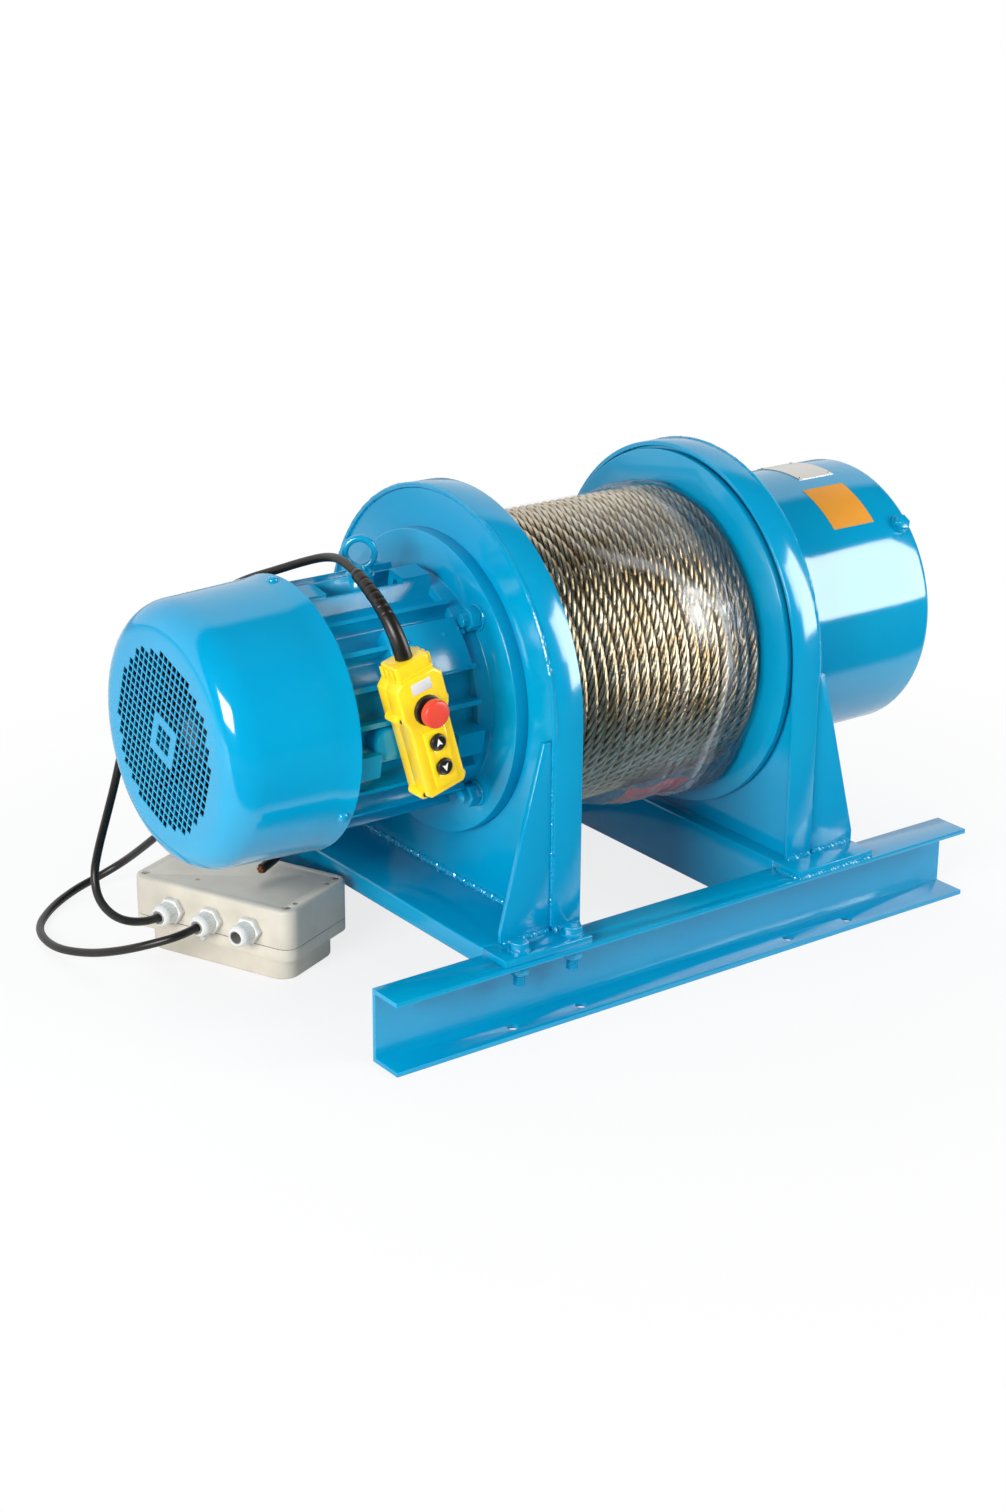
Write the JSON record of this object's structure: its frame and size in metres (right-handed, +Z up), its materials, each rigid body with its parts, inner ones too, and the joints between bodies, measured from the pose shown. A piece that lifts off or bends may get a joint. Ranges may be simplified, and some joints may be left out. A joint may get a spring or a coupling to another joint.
{
  "type": "electric winch",
  "caption": "Electric rope winch on channel rails: finned brake motor, rope drum between round-topped stands, planetary gearbox, floor control box and hanging push-button pendant.",
  "frame": {"origin": "centre of the floor bolt pattern, on the floor plane under the rails", "axes": "+X along the drum axis from the motor to the gearbox, +Y from the front rail to the rear rail, +Z up"},
  "size_m": [0.9375, 0.582, 0.51],
  "materials": {
    "blue_enamel": "gloss sky-blue enamel over steel and castings",
    "core_iron": "dull laminated iron",
    "gear_steel": "machined steel, oiled",
    "bearing_steel": "ground steel",
    "rope_steel": "greased stranded steel rope",
    "clear_film": "clear wrapping film",
    "box_grey": "satin moulded plastic, warm grey",
    "gland_white": "moulded nylon",
    "screw_zinc": "zinc-plated steel",
    "contactor_grey": "moulded plastic",
    "pendant_yellow": "gloss moulded plastic",
    "button_black": "moulded plastic",
    "stop_red": "moulded plastic",
    "cord_rubber": "black cable sheath",
    "fan_plastic": "moulded plastic"
  },
  "bodies": {
    "frame": {"front_rail": "blue_enamel", "rear_rail": "blue_enamel", "motor_cross_beam": "blue_enamel", "gear_cross_beam": "blue_enamel", "foot_pads": "blue_enamel", "base_bolts": "blue_enamel", "motor_stand_plates": "blue_enamel", "motor_stand_rim": "blue_enamel", "gear_stand_plates": "blue_enamel", "gear_stand_rim": "blue_enamel", "stand_gussets": "blue_enamel", "motor_flange_shield": "blue_enamel", "motor_frame": "blue_enamel", "motor_rear_shield": "blue_enamel", "fan_cowl": "blue_enamel", "stator": "core_iron", "lifting_eye": "blue_enamel", "cowl_screws": "blue_enamel", "flange_studs": "blue_enamel", "terminal_box": "blue_enamel", "terminal_box_lid": "blue_enamel", "motor_bearings": "bearing_steel", "brake_magnet": "core_iron", "gearbox_cover": "blue_enamel", "ring_gear": "gear_steel", "oil_plug": "blue_enamel", "drum_bearings": "bearing_steel", "control_box_base": "box_grey", "control_box_lid": "box_grey", "lid_screws": "screw_zinc", "cable_glands": "gland_white", "contactors": "contactor_grey", "pendant_front_shell": "pendant_yellow", "pendant_back_shell": "pendant_yellow", "pendant_collar": "pendant_yellow", "pendant_boot": "cord_rubber", "pendant_cable": "cord_rubber", "motor_cable": "cord_rubber", "supply_lead": "cord_rubber"},
    "rotor": {"rotor_core": "core_iron", "drive_shaft": "gear_steel", "cooling_fan": "fan_plastic", "brake_disc": "gear_steel"},
    "drum": {"drum_barrel": "blue_enamel", "drum_discs": "blue_enamel", "second_carrier": "gear_steel", "drum_hub": "gear_steel", "wire_rope": "rope_steel", "stretch_film": "clear_film"},
    "first_carrier": {"first_carrier": "gear_steel"},
    "first_planet_a": {"first_planet_a": "gear_steel"},
    "first_planet_b": {"first_planet_b": "gear_steel"},
    "first_planet_c": {"first_planet_c": "gear_steel"},
    "second_planet_a": {"second_planet_a": "gear_steel"},
    "second_planet_b": {"second_planet_b": "gear_steel"},
    "second_planet_c": {"second_planet_c": "gear_steel"},
    "estop_stem": {"estop_stem": "button_black"},
    "estop_knob": {"estop_knob": "stop_red"},
    "up_button": {"up_button": "button_black"},
    "down_button": {"down_button": "button_black"}
  },
  "joints": [
    {"name": "drum_spin", "type": "hinge", "parent": "frame", "child": "drum", "pos_m": [0, 0, 0.302], "axis": [1, 0, 0], "continuous": true},
    {"name": "rotor_spin", "type": "hinge", "parent": "frame", "child": "rotor", "pos_m": [0, 0, 0.302], "axis": [1, 0, 0], "continuous": true},
    {"name": "first_carrier_spin", "type": "hinge", "parent": "frame", "child": "first_carrier", "pos_m": [0, 0, 0.302], "axis": [1, 0, 0], "continuous": true},
    {"name": "second_planet_a_spin", "type": "hinge", "parent": "drum", "child": "second_planet_a", "pos_m": [0, 0, 0.374], "axis": [1, 0, 0], "continuous": true},
    {"name": "second_planet_b_spin", "type": "hinge", "parent": "drum", "child": "second_planet_b", "pos_m": [0, -0.06235, 0.266], "axis": [1, 0, 0], "continuous": true},
    {"name": "second_planet_c_spin", "type": "hinge", "parent": "drum", "child": "second_planet_c", "pos_m": [0, 0.06235, 0.266], "axis": [1, 0, 0], "continuous": true},
    {"name": "first_planet_a_spin", "type": "hinge", "parent": "first_carrier", "child": "first_planet_a", "pos_m": [0, 0, 0.374], "axis": [1, 0, 0], "continuous": true},
    {"name": "first_planet_b_spin", "type": "hinge", "parent": "first_carrier", "child": "first_planet_b", "pos_m": [0, -0.06235, 0.266], "axis": [1, 0, 0], "continuous": true},
    {"name": "first_planet_c_spin", "type": "hinge", "parent": "first_carrier", "child": "first_planet_c", "pos_m": [0, 0.06235, 0.266], "axis": [1, 0, 0], "continuous": true},
    {"name": "estop_press", "type": "slide", "parent": "frame", "child": "estop_stem", "axis": [0, 1, 0], "range_m": [0, 0.004]},
    {"name": "estop_twist", "type": "hinge", "parent": "estop_stem", "child": "estop_knob", "pos_m": [-0.29518, -0.179, 0.34314], "axis": [0, -1, 0], "range_deg": [-45, 0], "stiffness_Nm_per_rad": 0.05},
    {"name": "up_press", "type": "slide", "parent": "frame", "child": "up_button", "axis": [0, 1, 0], "range_m": [0, 0.004], "stiffness_N_per_m": 600},
    {"name": "down_press", "type": "slide", "parent": "frame", "child": "down_button", "axis": [0, 1, 0], "range_m": [0, 0.004], "stiffness_N_per_m": 600}
  ],
  "couplings": [
    {"joint": "rotor_spin", "follows": "drum_spin", "ratio": 40.96},
    {"joint": "first_carrier_spin", "follows": "drum_spin", "ratio": 6.4},
    {"joint": "second_planet_a_spin", "follows": "drum_spin", "ratio": -2.4545},
    {"joint": "second_planet_b_spin", "follows": "drum_spin", "ratio": -2.4545},
    {"joint": "second_planet_c_spin", "follows": "drum_spin", "ratio": -2.4545},
    {"joint": "first_planet_a_spin", "follows": "drum_spin", "ratio": -15.709},
    {"joint": "first_planet_b_spin", "follows": "drum_spin", "ratio": -15.709},
    {"joint": "first_planet_c_spin", "follows": "drum_spin", "ratio": -15.709}
  ]
}
